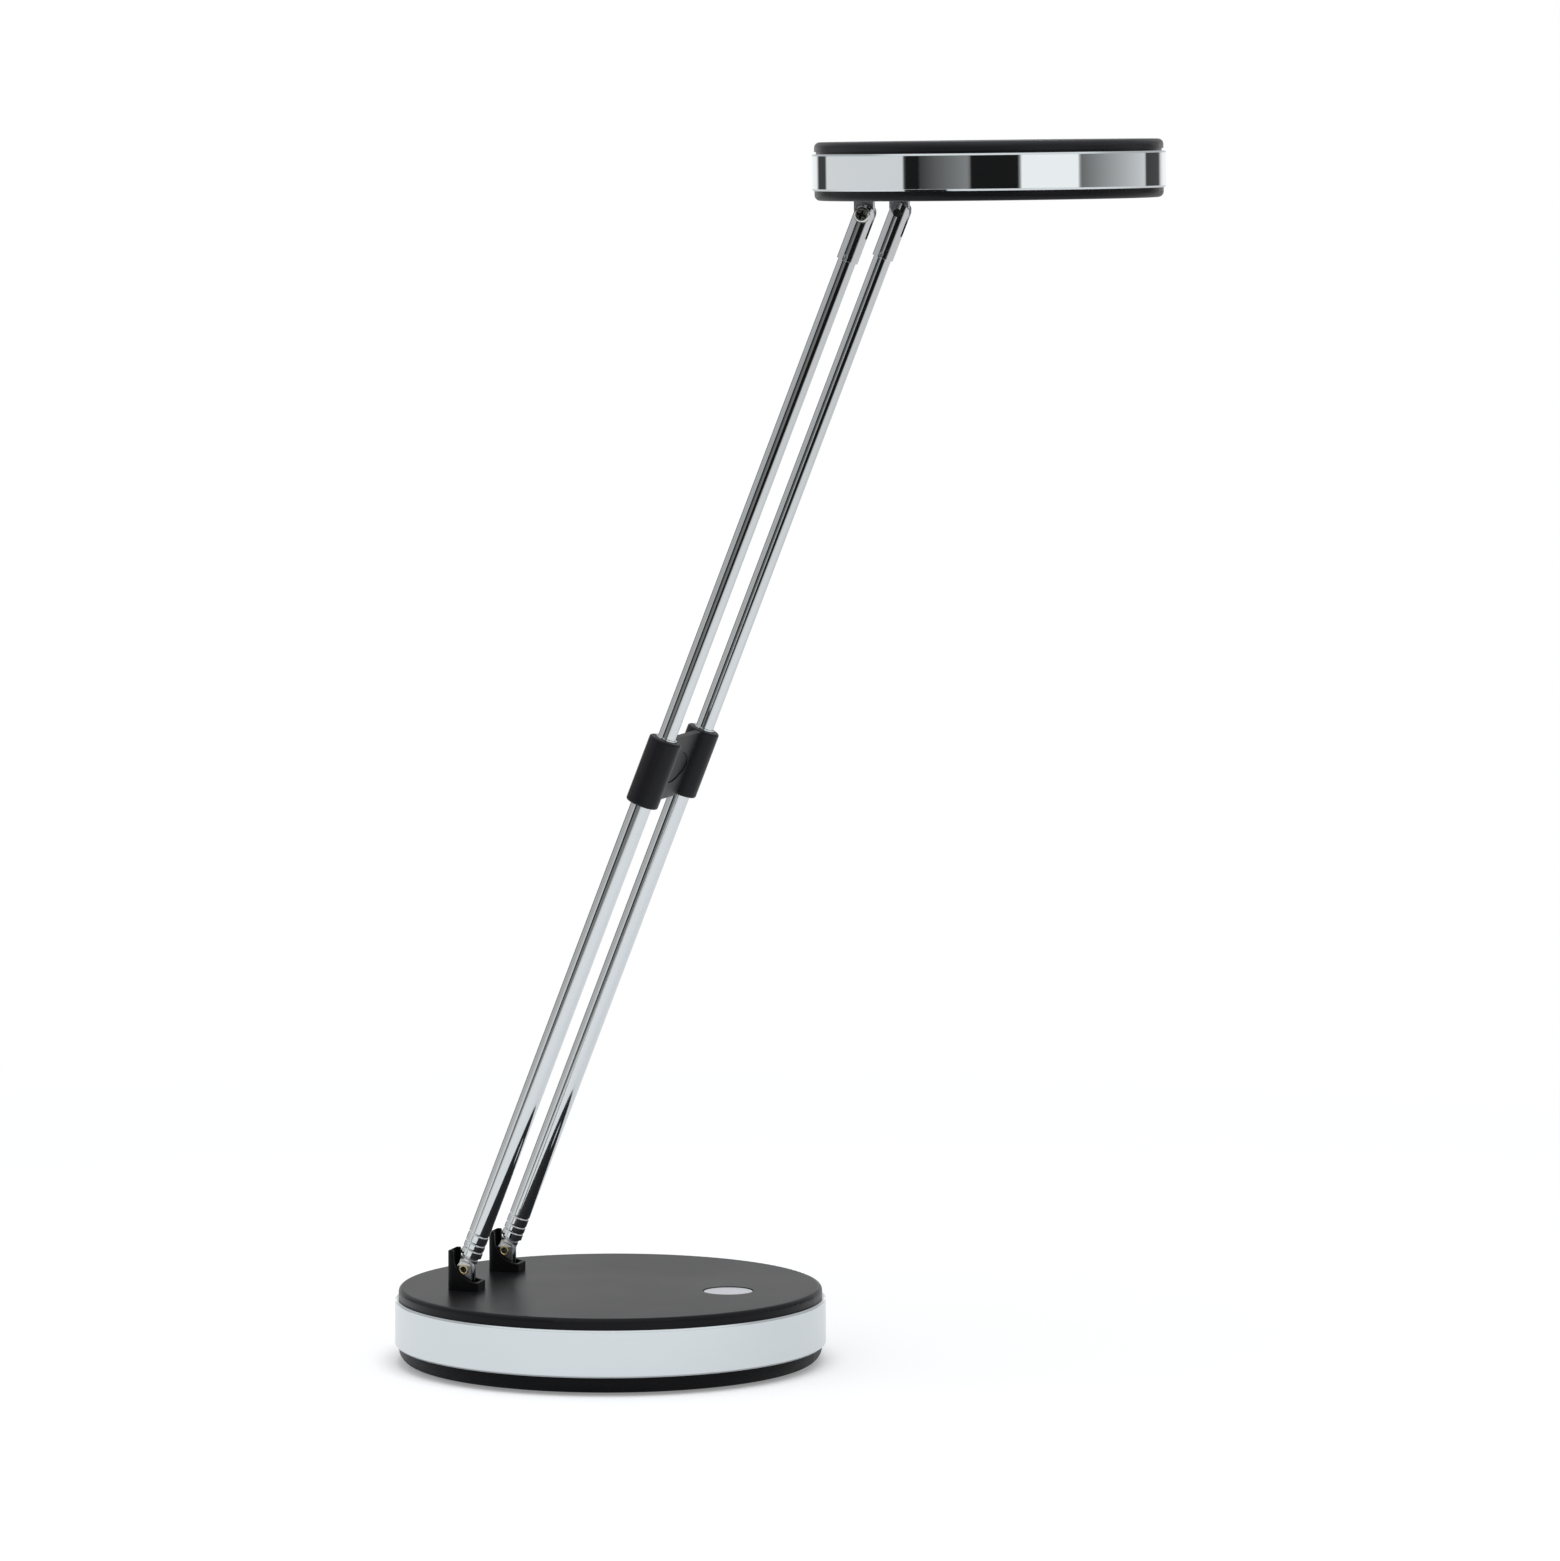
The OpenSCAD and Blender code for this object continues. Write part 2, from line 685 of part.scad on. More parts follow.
// A lug: a foot screwed under the top cover, a neck and two ears.
module base_lug(side) {
    foot_z = -pivot_h - base_plate_t - lug_foot_t;
    neck_h = -foot_z - pivot_h + lug_web_h;
    color("#b4b6b8") difference() {
        at_base_pivot(side) difference() {
            union() {
                translate([-lug_foot_len / 2, -lug_foot_w / 2, foot_z])
                    cube([lug_foot_len, lug_foot_w, lug_foot_t]);
                translate([-ear_r, -ear_out, foot_z]) cube([2 * ear_r, 2 * ear_out, neck_h]);
                for (y = [-ear_in, ear_out]) translate([0, y, 0]) rotate([90, 0, 0]) {
                    cylinder(r = ear_r, h = ear_t);
                    translate([-ear_r, foot_z, 0]) cube([2 * ear_r, -foot_z, ear_t]);
                }
            }
            rotate([90, 0, 0]) translate([0, 0, -ear_out - 1])
                cylinder(d = pivot_pin_d + 2 * seat_gap, h = 2 * ear_out + 2);
        }
        at_lug_screws(side)
            drill(lug_screw_d + 2 * seat_gap, base_ceiling_z - lug_foot_t, base_ceiling_z);
    }
}

module base_lug_left() { base_lug(LEFT); }
module base_lug_right() { base_lug(RIGHT); }

module base_lug_screws() {
    color("#b9bcc0") for (side = [LEFT, RIGHT]) {
        at_lug_screws(side) translate([0, 0, base_ceiling_z - lug_foot_t]) mirror([0, 0, 1])
            screw(lug_screw_head_d, lug_screw_head_h, lug_screw_d, lug_foot_t + 1.4);
    }
}

// A hollow brass rivet through both ears and the tongue. Its ends are flared.
module base_rivet(side) {
    end = ear_out + rivet_head_t;
    color("#c7a24b") at_base_pivot(side) rotate([90, 0, 0]) difference() {
        union() {
            translate([0, 0, -ear_out - eps]) cylinder(d = pivot_pin_d, h = 2 * ear_out + 2 * eps);
            for (turn = [0, 180]) rotate([turn, 0, 0]) translate([0, 0, ear_out])
                rounded_disc(rivet_head_d / 2, rivet_head_t, 0.2);
        }
        drill(rivet_hole_d, -end, end);
        for (turn = [0, 180]) rotate([turn, 0, 0]) translate([0, 0, end - rivet_flare])
            cylinder(d1 = rivet_hole_d, d2 = rivet_hole_d + 2 * rivet_flare, h = rivet_flare + eps);
    }
}

module base_rivet_left() { base_rivet(LEFT); }
module base_rivet_right() { base_rivet(RIGHT); }

// ---- Button ----

module button_cap() {
    color("#d3d5dd") translate([button_x, 0, 0]) {
        translate([0, 0, base_ceiling_z - button_flange_t])
            cylinder(d = button_flange_d, h = button_flange_t);
        translate([0, 0, base_ceiling_z - eps])
            rounded_disc(button_d / 2, base_plate_t - button_sink + eps, 0.3);
        translate([0, 0, stem_z]) cylinder(d = button_stem_d, h = button_stem_h + eps);
    }
}

module switch_plunger() {
    color("#e6e2da") translate([button_x, 0, switch_top_z]) cylinder(d = plunger_d, h = plunger_h);
}

// ---- Lower arm ----

// The lower tube: three crimped rings hold the foot, and the top is rolled in to
// guide the upper tube.
module lower_tube(side) {
    crimp_r = 0.5;
    crimp_depth = 0.22;
    color("#cfd3d7") along_rod(side) translate([0, 0, tube_foot]) difference() {
        cylinder(d = lower_tube_d, h = lower_tube_len);
        drill(rim_d, 0, lower_tube_len);
        drill(lower_bore_d, 0, lower_tube_len - rim_len - eps);
        for (z = crimp_places) translate([0, 0, z]) rotate_extrude()
            translate([lower_tube_d / 2 + crimp_r - crimp_depth, 0]) circle(r = crimp_r, $fn = 24);
    }
}

module lower_tube_left() { lower_tube(LEFT); }
module lower_tube_right() { lower_tube(RIGHT); }

// The arm's foot: a plug in the tube, a grooved collar and a tongue.
module arm_foot(side) {
    plug_len = 12;
    collar_h = tube_foot - collar_low;
    groove = 0.45;
    color("#c3c6c9") along_rod(side) difference() {
        union() {
            translate([0, 0, tube_foot]) cylinder(d = lower_bore_d - 2 * seat_gap, h = plug_len);
            translate([0, 0, collar_low]) cylinder(d = collar_d, h = collar_h + eps);
            rotate([90, 0, 0]) translate([0, 0, -tongue_t / 2]) {
                cylinder(r = tongue_r, h = tongue_t);
                translate([-tongue_r, 0, 0]) cube([2 * tongue_r, collar_low + 0.3, tongue_t]);
            }
        }
        translate([0, 0, collar_low + collar_h * 0.45]) pipe(collar_d, collar_d / 2 - groove, groove);
        rotate([90, 0, 0]) drill(pivot_pin_d + 2 * running, -tongue_t / 2, tongue_t / 2);
    }
}

module arm_foot_left() { arm_foot(LEFT); }
module arm_foot_right() { arm_foot(RIGHT); }

// The clamp: two sleeves on the lower tubes and a flat web between them, with a
// shallow thumb recess in each face of the web.
module clamp_bridge() {
    edge_r = 0.7;
    recess = 0.4;
    web_low = 0.3;
    color("#202124") difference() {
        union() {
            for (side = [LEFT, RIGHT]) along_rod(side) translate([0, 0, clamp_low]) rotate_extrude() {
                square([clamp_d / 2 - edge_r, clamp_len]);
                translate([0, edge_r]) square([clamp_d / 2, clamp_len - 2 * edge_r]);
                for (z = [edge_r, clamp_len - edge_r])
                    translate([clamp_d / 2 - edge_r, z]) circle(r = edge_r);
            }
            along_rod(LEFT) translate([-clamp_web_t / 2, 0, clamp_low + web_low])
                cube([clamp_web_t, rod_gap, clamp_len - 2 * web_low]);
        }
        for (side = [LEFT, RIGHT]) along_rod(side)
            drill(lower_tube_d + 2 * seat_gap, clamp_low, clamp_top);
        for (face = [-1, 1]) along_rod(LEFT)
            translate([face * clamp_web_t / 2, rod_gap / 2, clamp_low + clamp_len / 2])
                rotate([0, 90, 0]) translate([0, 0, -recess])
                    linear_extrude(2 * recess) thumb_oval();
    }
}

// A long eye shape across the web: what two circles have in common.
module thumb_oval() {
    half = thumb_w / 2;
    r = (half * half + thumb_h * thumb_h / 4) / thumb_h;
    intersection() {
        translate([r - thumb_h / 2, 0]) circle(r = r);
        translate([thumb_h / 2 - r, 0]) circle(r = r);
    }
}

// ---- Upper arm ----

// The upper tube: a rolled bead stops it at full reach.
module upper_tube(side) {
    color("#d2d6da") along_rod(side) translate([0, 0, upper_start]) difference() {
        union() {
            cylinder(d = upper_tube_d, h = upper_tube_len);
            translate([0, 0, bead_low]) cylinder(d = slide_d, h = bead_len);
        }
        drill(upper_bore_d, 0, upper_tube_len);
    }
}

module upper_tube_left() { upper_tube(LEFT); }
module upper_tube_right() { upper_tube(RIGHT); }

// A brass plug in the lower end of the upper tube. Its lip slides in the lower tube.
module slide_plug(side) {
    lip = 1.6;
    color("#b99a4c") along_rod(side) translate([0, 0, upper_start - lip]) {
        cylinder(d = slide_d, h = lip);
        translate([0, 0, lip - eps]) cylinder(d = upper_bore_d - 2 * seat_gap, h = 6);
    }
}

module slide_plug_left() { slide_plug(LEFT); }
module slide_plug_right() { slide_plug(RIGHT); }

// The sleeve on the upper tube's end: it is slotted for the head lug, rounded
// about the pivot, spot-faced for the screw and staked to the tube.
module head_sleeve(side) {
    color("#c9ccd0") along_rod(side) translate([0, 0, arm_len]) difference() {
        intersection() {
            union() {
                translate([0, 0, -head_sleeve_len]) cylinder(d = head_sleeve_d, h = head_sleeve_len);
                cylinder(d = head_sleeve_d, h = head_sleeve_d / 2);
            }
            rotate([90, 0, 0]) translate([0, 0, -head_sleeve_d]) {
                cylinder(d = head_sleeve_d, h = 2 * head_sleeve_d);
                translate([-head_sleeve_d / 2, -head_sleeve_len, 0])
                    cube([head_sleeve_d, head_sleeve_len, 2 * head_sleeve_d]);
            }
        }
        drill(upper_tube_d + 2 * seat_gap, -head_sleeve_len, -tube_tip);
        translate([-head_sleeve_d, -head_cheek, -sleeve_slot])
            cube([2 * head_sleeve_d, 2 * head_cheek, sleeve_slot + head_sleeve_d]);
        rotate([90, 0, 0]) drill(pivot_pin_d + 2 * seat_gap, -head_sleeve_d, head_sleeve_d);
        rotate([-90 * side, 0, 0]) translate([0, 0, pivot_face])
            cylinder(d = pivot_screw_head_d + 0.3, h = head_sleeve_d);
        translate([0, -head_sleeve_d / 2 - 0.1, -head_sleeve_len + 1.2]) sphere(d = stake_d);
    }
}

module head_sleeve_left() { head_sleeve(LEFT); }
module head_sleeve_right() { head_sleeve(RIGHT); }

// The head's pivot screws go in from the outer sides.
module head_pivot_screw(side) {
    shank = pivot_face + head_sleeve_d / 2 + 0.2;
    color("#8d8f8a") along_rod(side) translate([0, 0, arm_len]) rotate([-90 * side, 0, 0])
        translate([0, 0, pivot_face])
            screw(pivot_screw_head_d, pivot_screw_head_h, pivot_pin_d, shank);
}

module head_pivot_screw_left() { head_pivot_screw(LEFT); }
module head_pivot_screw_right() { head_pivot_screw(RIGHT); }

// ---- Head ----

module at_head_screws() {
    for (a = head_screw_angles) at_head_middle()
        rotate([0, 0, a]) translate([head_screw_r, 0, 0]) children();
}

module at_head_lugs() {
    for (side = [LEFT, RIGHT]) at_head() translate([0, side * rod_gap / 2, 0]) children();
}

module at_head_lug_screws() {
    at_head_lugs() for (dy = [-head_lug_screw_y, head_lug_screw_y]) {
        translate([head_lug_screw_x, dy, 0]) children();
    }
}

module head_cover_top() {
    color("#2a2a2d") difference() {
        union() {
            difference() {
                at_head_middle() translate([0, 0, head_cap_z])
                    rounded_disc(head_cover_r, head_top_h, head_round);
                at_head_middle()
                    drill(2 * (head_spigot_r - head_spigot_t), head_cap_z, head_ceiling_z - eps);
            }
            at_head_middle() translate([0, 0, head_rim_z - head_spigot_h])
                pipe(head_spigot_r, head_spigot_r - head_spigot_t, head_spigot_h + head_shadow + eps);
            at_head_screws() translate([0, 0, head_boss_top_z])
                cylinder(d = head_boss_d, h = head_ceiling_z - head_boss_top_z + eps);
        }
        at_head_screws()
            drill(head_screw_d + 2 * seat_gap, head_boss_top_z, head_boss_top_z + head_screw_len);
    }
}

module head_ring() {
    color("#cfd3d6") at_head_middle() translate([0, 0, head_ring_z])
        band(head_d / 2, head_ring_t, head_ring_h, band_chamfer);
}

module head_cover_bottom() {
    way_l = head_lug_w + 2 * side_play;
    way_w = head_lug_t + 2 * side_play;
    color("#242427") difference() {
        union() {
            at_head_middle() difference() {
                translate([0, 0, head_ring_z]) mirror([0, 0, 1])
                    rounded_disc(head_cover_r, head_bottom_h, head_round);
                translate([0, 0, head_floor_z])
                    cylinder(r = head_spigot_r - head_spigot_t, h = head_bottom_h);
            }
            at_head_middle() translate([0, 0, head_ring_z - eps])
                pipe(head_spigot_r, head_spigot_r - head_spigot_t, head_spigot_h + eps);
            at_head_screws() translate([0, 0, head_floor_z - eps])
                cylinder(d = head_boss_d, h = head_boss_top_z - head_floor_z + eps);
        }
        at_head_middle() {
            drill(light_d, head_drop, head_floor_z);
            // Sloped rim round the light.
            translate([0, 0, head_drop - eps])
                cylinder(d1 = light_d + 2.4, d2 = light_d, h = 1.2);
        }
        at_head_screws() {
            drill(head_screw_d + 2 * seat_gap, head_drop, head_boss_top_z);
            drill(head_screw_head_d + 0.4, head_drop, head_screw_seat_z);
        }
        at_head_lugs() translate([-way_l / 2, -way_w / 2, head_drop - eps])
            cube([way_l, way_w, head_plate_t + 2 * eps]);
        at_head_lug_screws() drill(lug_screw_d + 2 * seat_gap, head_drop + 0.5, head_floor_z);
    }
}

module head_screws() {
    color("#b9bcc0") at_head_screws() translate([0, 0, head_screw_seat_z]) mirror([0, 0, 1])
        screw(head_screw_head_d, head_screw_head_h, head_screw_d, head_screw_len);
}

// A lug: a flat plate that hangs from a foot screwed inside the bottom cover.
module head_lug(side) {
    color("#a9abae") difference() {
        at_head() translate([0, side * rod_gap / 2, 0]) difference() {
            union() {
                translate([-head_foot_back, -head_foot_w / 2, head_floor_z])
                    cube([head_foot_len, head_foot_w, head_foot_t]);
                rotate([90, 0, 0]) translate([0, 0, -head_lug_t / 2]) {
                    cylinder(d = head_lug_w, h = head_lug_t);
                    translate([-head_lug_w / 2, 0, 0])
                        cube([head_lug_w, head_floor_z + head_foot_t, head_lug_t]);
                }
            }
            rotate([90, 0, 0]) drill(pivot_pin_d + 2 * running, -head_lug_t / 2, head_lug_t / 2);
        }
        at_head_lug_screws()
            drill(lug_screw_d + 2 * seat_gap, head_floor_z, head_floor_z + head_foot_t);
    }
}

module head_lug_left() { head_lug(LEFT); }
module head_lug_right() { head_lug(RIGHT); }

module head_lug_screws() {
    color("#b9bcc0") at_head_lug_screws() translate([0, 0, head_floor_z + head_foot_t])
        screw(lug_screw_head_d, lug_screw_head_h, lug_screw_d, head_foot_t + 1.3);
}

// ---- Light ----

module diffuser() {
    color("#f3f3ee") at_head_middle() {
        translate([0, 0, head_floor_z]) cylinder(d = diffuser_flange_d, h = diffuser_t);
        translate([0, 0, diffuser_face_z])
            cylinder(d = light_d - 0.6, h = head_floor_z - diffuser_face_z + eps);
    }
}

// A white cone that widens from the LED board to the diffuser.
module reflector() {
    wall = 1.2;
    wide = diffuser_flange_d / 2 - wall;
    narrow = wide - 3;
    color("#eeeeea") at_head_middle() translate([0, 0, reflector_z]) rotate_extrude() polygon([
        [wide, 0], [wide + wall, 0], [wide + wall, reflector_h], [narrow, reflector_h]
    ]);
}

module led_board() {
    color("#e4e6e8") at_head_middle() translate([0, 0, led_board_z])
        cylinder(d = led_board_d, h = led_board_t);
}

module leds() {
    color("#f2d66b") at_head_middle() translate([0, 0, led_board_z - led_h]) {
        led_circle(led_count, led_ring_r);
        led_circle(led_inner_count, led_inner_r);
    }
}

module led_circle(count, r) {
    for (i = [0 : count - 1]) {
        rotate([0, 0, 360 * i / count]) translate([r, 0, led_h / 2])
            cube([led_w, led_l, led_h], center = true);
    }
}

// An aluminium plate over the LED board, with a row of low fins.
module heat_spreader() {
    reach = floor((spreader_d / 2 - 10) / fin_pitch);
    color("#b0b3b6") at_head_middle() translate([0, 0, spreader_z]) {
        cylinder(d = spreader_d, h = spreader_t);
        for (i = [-reach : reach]) {
            half = sqrt(pow(spreader_d / 2 - 2, 2) - pow(i * fin_pitch, 2));
            translate([i * fin_pitch - fin_t / 2, -half, spreader_t - eps])
                cube([fin_t, 2 * half, fin_h]);
        }
    }
}

base_cover_top();
base_ring();
base_cover_bottom();
ballast_plate();
anti_slip_pad();
base_screws();
control_board();
board_screws();
tact_switch();
dc_jack();
jack_pin();
bracket_left();
bracket_right();
base_lug_left();
base_lug_right();
base_lug_screws();
base_rivet_left();
base_rivet_right();
button_cap();
switch_plunger();
lower_tube_left();
lower_tube_right();
arm_foot_left();
arm_foot_right();
clamp_bridge();
upper_tube_left();
upper_tube_right();
slide_plug_left();
slide_plug_right();
head_sleeve_left();
head_sleeve_right();
head_pivot_screw_left();
head_pivot_screw_right();
head_cover_top();
head_ring();
head_cover_bottom();
head_screws();
head_lug_left();
head_lug_right();
head_lug_screws();
diffuser();
reflector();
led_board();
leds();
heat_spreader();
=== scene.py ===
"""The looks of a telescopic desk lamp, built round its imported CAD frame."""

import json
import math

import bpy
from bpy.props import FloatProperty, FloatVectorProperty, IntProperty, PointerProperty
from bpy.types import Operator, Panel, PropertyGroup
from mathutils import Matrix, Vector


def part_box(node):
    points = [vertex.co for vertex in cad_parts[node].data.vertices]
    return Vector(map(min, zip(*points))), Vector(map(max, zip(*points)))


bl_info = {
    "name": "Telescopic desk lamp",
    "version": (1, 0, 0),
    "blender": (4, 5, 0),
    "location": "3D View > Sidebar > Lamp",
    "description": "Dresses the packed lamp and sets up its studio",
    "category": "Object",
}

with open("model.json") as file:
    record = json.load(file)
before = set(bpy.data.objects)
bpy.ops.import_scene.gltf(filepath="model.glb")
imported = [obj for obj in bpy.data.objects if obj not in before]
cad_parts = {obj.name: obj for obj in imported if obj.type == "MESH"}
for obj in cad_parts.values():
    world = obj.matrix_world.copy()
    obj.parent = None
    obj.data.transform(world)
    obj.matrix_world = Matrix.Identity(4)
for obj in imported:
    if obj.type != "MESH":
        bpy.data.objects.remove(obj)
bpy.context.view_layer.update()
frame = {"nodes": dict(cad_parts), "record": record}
SLOT_COLOURS = {m["slot"]: m["base_color"] for m in frame["record"]["materials"]}
NODE_SLOTS = {s["node"]: s["material_slot"] for s in frame["record"]["subparts"]}
MM = 0.001


# ---- Shader maths ----


class Number:
    """A varying number in a node tree. Python's operators on it add Math nodes."""

    def __init__(self, shader, socket):
        self.shader = shader
        self.socket = socket

    def _math(self, operation, first, second=None):
        values = {0: first} if second is None else {0: first, 1: second}
        made = self.shader.node("ShaderNodeMath", {"operation": operation}, values)
        return Number(self.shader, made.outputs[0])

    def __add__(self, other):
        return self._math("ADD", self, other)

    def __sub__(self, other):
        return self._math("SUBTRACT", self, other)

    def __rsub__(self, other):
        return self._math("SUBTRACT", other, self)

    def __mul__(self, other):
        return self._math("MULTIPLY", self, other)

    def __truediv__(self, other):
        return self._math("DIVIDE", self, other)

    def __pow__(self, other):
        return self._math("POWER", self, other)

    __radd__ = __add__
    __rmul__ = __mul__

    def above(self, limit):
        return self._math("GREATER_THAN", self, limit)

    def size(self):
        return self._math("ABSOLUTE", self)

    def sine(self):
        return self._math("SINE", self)

    def most(self, other):
        return self._math("MAXIMUM", self, other)

    def angle(self, other):
        """The angle whose sine and cosine are as self and other."""
        return self._math("ARCTAN2", self, other)

    def step(self, low, high):
        """0 below low, 1 above high, and smooth in between."""
        values = {"Value": self, "From Min": low, "From Max": high}
        made = self.shader.node("ShaderNodeMapRange", {"interpolation_type": "SMOOTHSTEP"}, values)
        return Number(self.shader, made.outputs[0])


class Shader:
    """One node tree, cleared and filled again."""

    def __init__(self, owner):
        owner.use_nodes = True
        self.tree = owner.node_tree
        self.tree.nodes.clear()

    def node(self, kind, settings=None, values=None):
        """Adds a node. Its settings come first, then the values or links of its sockets."""
        made = self.tree.nodes.new(kind)
        for key, setting in (settings or {}).items():
            if key == "stops":
                self._stops(made.color_ramp, setting)
            else:
                setattr(made, key, setting)
        for key, value in (values or {}).items():
            source = value.socket if isinstance(value, Number) else value
            if isinstance(source, bpy.types.NodeSocket):
                self.tree.links.new(source, made.inputs[key])
            else:
                made.inputs[key].default_value = source
        return made

    @staticmethod
    def _stops(ramp, stops):
        while len(ramp.elements) < len(stops):
            ramp.elements.new(0.5)
        for element, (place, colour) in zip(ramp.elements, stops):
            element.position = place
        for element, (place, colour) in zip(ramp.elements, stops):
            element.color = rgba(colour)

    def point(self):
        return self.node("ShaderNodeTexCoord").outputs["Object"]

    def axes(self, vector):
        made = self.node("ShaderNodeSeparateXYZ", values={0: vector})
        return [Number(self, made.outputs[i]) for i in range(3)]

    def noise(self, scale, detail=2.0, roughness=0.5, vector=None):
        values = {"Scale": scale, "Detail": detail, "Roughness": roughness}
        values["Vector"] = vector or self.point()
        return Number(self, self.node("ShaderNodeTexNoise", values=values).outputs["Fac"])

    def stretched(self, scale):
        """The object's coordinates, scaled on each axis."""
        made = self.node("ShaderNodeMapping", values={"Vector": self.point(), "Scale": scale})
        return made.outputs[0]

    def mix(self, share, first, second):
        values = {"Factor": share, 6: rgba(first), 7: rgba(second)}
        made = self.node("ShaderNodeMix", {"data_type": "RGBA"}, values)
        return made.outputs[2]

    def rounded(self, radius):
        """A normal that rounds off sharp edges."""
        return self.node("ShaderNodeBevel", {"samples": 6}, {"Radius": radius}).outputs[0]

    def bump(self, height, distance, normal=None):
        values = {"Height": height, "Distance": distance}
        if normal is not None:
            values["Normal"] = normal
        return self.node("ShaderNodeBump", values=values).outputs[0]

    def surface(self, **values):
        """A Principled surface. Socket names are written with _ for each space."""
        named = {key.replace("_", " "): value for key, value in values.items()}
        made = self.node("ShaderNodeBsdfPrincipled", values=named)
        self.output(made.outputs[0])
        return made

    def output(self, socket, kind="ShaderNodeOutputMaterial"):
        self.node(kind, values={"Surface": socket})


def rgba(colour):
    """A colour with its alpha. Sockets and wrapped numbers pass through."""
    if isinstance(colour, (Number, bpy.types.NodeSocket)):
        return colour
    return (*colour[:3], 1.0)


def scaled(colour, factor):
    return tuple(c * factor for c in colour[:3])


def new_material(name):
    return bpy.data.materials.new(name)


# ---- Finishes ----


def moulded_plastic(name, colour, roughness, grain=0.35 * MM, shine=0.5):
    """Satin moulded plastic: a fine spark-eroded grain, cloudy gloss and faint dust."""
    material = new_material(name)
    shader = Shader(material)
    cloud = shader.noise(22.0, 3.0)
    fine = shader.noise(1.0 / grain, 3.0, 0.6)
    dust = shader.noise(900.0, 4.0, 0.7).step(0.62, 0.8)
    tone = shader.mix(cloud.step(0.3, 0.7), scaled(colour, 0.9), scaled(colour, 1.12))
    tone = shader.mix(dust * 0.12, tone, scaled(colour, 3.0))
    shader.surface(
        Base_Color=tone,
        Roughness=roughness + (cloud - 0.5) * 0.1 + (fine - 0.5) * 0.08,
        Specular_IOR_Level=shine,
        Normal=shader.bump(fine, 0.006 * MM, shader.rounded(0.25 * MM)),
    )
    return material


def plated(name, colour, roughness, haze=0.03, edge=0.15 * MM):
    """Bright plating: almost a mirror, with faint cloudy haze and fine polishing lines."""
    material = new_material(name)
    shader = Shader(material)
    cloud = shader.noise(35.0, 3.0)
    smear = shader.noise(260.0, 4.0, 0.65).step(0.45, 0.75)
    tone = shader.mix(cloud, scaled(colour, 0.97), colour)
    shader.surface(
        Base_Color=tone,
        Metallic=1.0,
        Roughness=roughness + cloud * haze + smear * haze * 0.6,
        Normal=shader.rounded(edge),
    )
    return material


def worked_metal(name, colour, roughness, scale=(60.0, 60.0, 900.0), tarnish=0.35):
    """Rolled, turned or cast metal: a stretched grain with darker tarnish in patches."""
    material = new_material(name)
    shader = Shader(material)
    grain = shader.noise(1.0, 4.0, 0.65, shader.stretched(scale))
    patch = shader.noise(140.0, 4.0, 0.6).step(0.42, 0.75)
    tone = shader.mix(grain, scaled(colour, 0.86), scaled(colour, 1.06))
    tone = shader.mix(patch * tarnish, tone, scaled(colour, 0.55))
    shader.surface(
        Base_Color=tone,
        Metallic=1.0,
        Roughness=roughness + (grain - 0.5) * 0.16 + patch * 0.08,
        Normal=shader.bump(grain, 0.01 * MM, shader.rounded(0.12 * MM)),
    )
    return material


def silver_paint(name, colour):
    """Silver lacquer on plastic: fine flakes that glint under a satin clear coat."""
    material = new_material(name)
    shader = Shader(material)
    flakes = shader.noise(6500.0, 2.0, 0.7)
    cloud = shader.noise(60.0, 2.0)
    tone = shader.mix(flakes.step(0.3, 0.7), scaled(colour, 0.9), scaled(colour, 1.08))
    shader.surface(
        Base_Color=shader.mix(cloud * 0.3, tone, scaled(colour, 0.95)),
        Metallic=0.3 + (flakes - 0.5) * 0.3,
        Roughness=0.34 + (flakes - 0.5) * 0.15,
        Normal=shader.bump(flakes, 0.003 * MM, shader.rounded(0.2 * MM)),
    )
    return material


def rivet_brass(name, colour, axis, hole_r):
    """Tarnished brass of a hollow rivet, with painted shade in its hole. Its axis runs along Y."""
    material = new_material(name)
    shader = Shader(material)
    x, _, z = shader.axes(shader.point())
    reach = ((x - axis[0]) ** 2.0 + (z - axis[1]) ** 2.0) ** 0.5
    patch = shader.noise(900.0, 3.0, 0.6)
    # Painted shade: inside the hole the rivet is coloured near-black and not metallic.
    painted_bore_shade = 1 - reach.step(hole_r, hole_r + 0.12 * MM)
    tone = shader.mix(patch.step(0.4, 0.7) * 0.6, colour, scaled(colour, 0.35))
    shader.surface(
        Base_Color=shader.mix(painted_bore_shade, tone, (0.01, 0.009, 0.008)),
        Metallic=1 - painted_bore_shade,
        Roughness=0.2 + patch * 0.12 + painted_bore_shade * 0.4,
        Normal=shader.rounded(0.08 * MM),
    )
    return material


